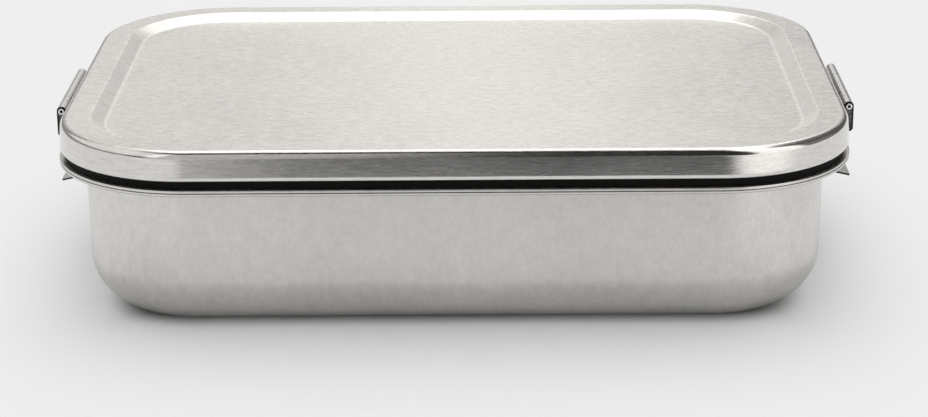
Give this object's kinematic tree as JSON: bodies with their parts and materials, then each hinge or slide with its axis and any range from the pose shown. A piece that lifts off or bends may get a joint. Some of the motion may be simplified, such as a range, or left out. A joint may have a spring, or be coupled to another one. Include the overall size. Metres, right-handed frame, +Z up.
{
  "type": "lunch box",
  "caption": "Flat rectangular steel lunch box: deep-drawn tray, pressed lid with a rubber seal, and a hinged sheet-steel clip on each short side.",
  "frame": {"origin": "on the surface the box stands on, under the middle of the tray", "axes": "+Z up, +X along the length towards the right-hand clip, +Y from the front to the back"},
  "size_m": [0.26, 0.1804, 0.061],
  "materials": {
    "tray_steel": "satin stainless steel",
    "lid_steel": "stainless steel brushed along the length",
    "seal_rubber": "matt black silicone",
    "bracket_steel": "plain rolled stainless sheet",
    "pin_steel": "bright drawn tube",
    "clip_steel": "satin stainless sheet"
  },
  "bodies": {
    "container": {"tray": "tray_steel"},
    "lid": {"lid": "lid_steel", "seal": "seal_rubber", "left_hinge_bracket": "bracket_steel", "right_hinge_bracket": "bracket_steel"},
    "left_pin": {"left_hinge_pin": "pin_steel"},
    "right_pin": {"right_hinge_pin": "pin_steel"},
    "left_clip": {"left_clip": "clip_steel"},
    "right_clip": {"right_clip": "clip_steel"}
  },
  "joints": [
    {"name": "lid_lift", "type": "slide", "parent": "container", "child": "lid", "axis": [0, 0, 1], "range_m": [0, 0.012]},
    {"name": "left_pin_turn", "type": "hinge", "parent": "lid", "child": "left_pin", "pos_m": [-0.1284, 0, 0.0546], "axis": [0, 1, 0], "range_deg": [0, 91]},
    {"name": "right_pin_turn", "type": "hinge", "parent": "lid", "child": "right_pin", "pos_m": [0.1284, 0, 0.0546], "axis": [0, -1, 0], "range_deg": [0, 91]},
    {"name": "left_clip_swing", "type": "hinge", "parent": "left_pin", "child": "left_clip", "pos_m": [-0.1284, 0, 0.0546], "axis": [0, 1, 0], "range_deg": [0, 85]},
    {"name": "right_clip_swing", "type": "hinge", "parent": "right_pin", "child": "right_clip", "pos_m": [0.1284, 0, 0.0546], "axis": [0, -1, 0], "range_deg": [0, 85]}
  ],
  "couplings": [
    {"joint": "left_pin_turn", "follows": "lid_lift", "rad_per_m": 130.9},
    {"joint": "right_pin_turn", "follows": "lid_lift", "rad_per_m": 130.9}
  ]
}
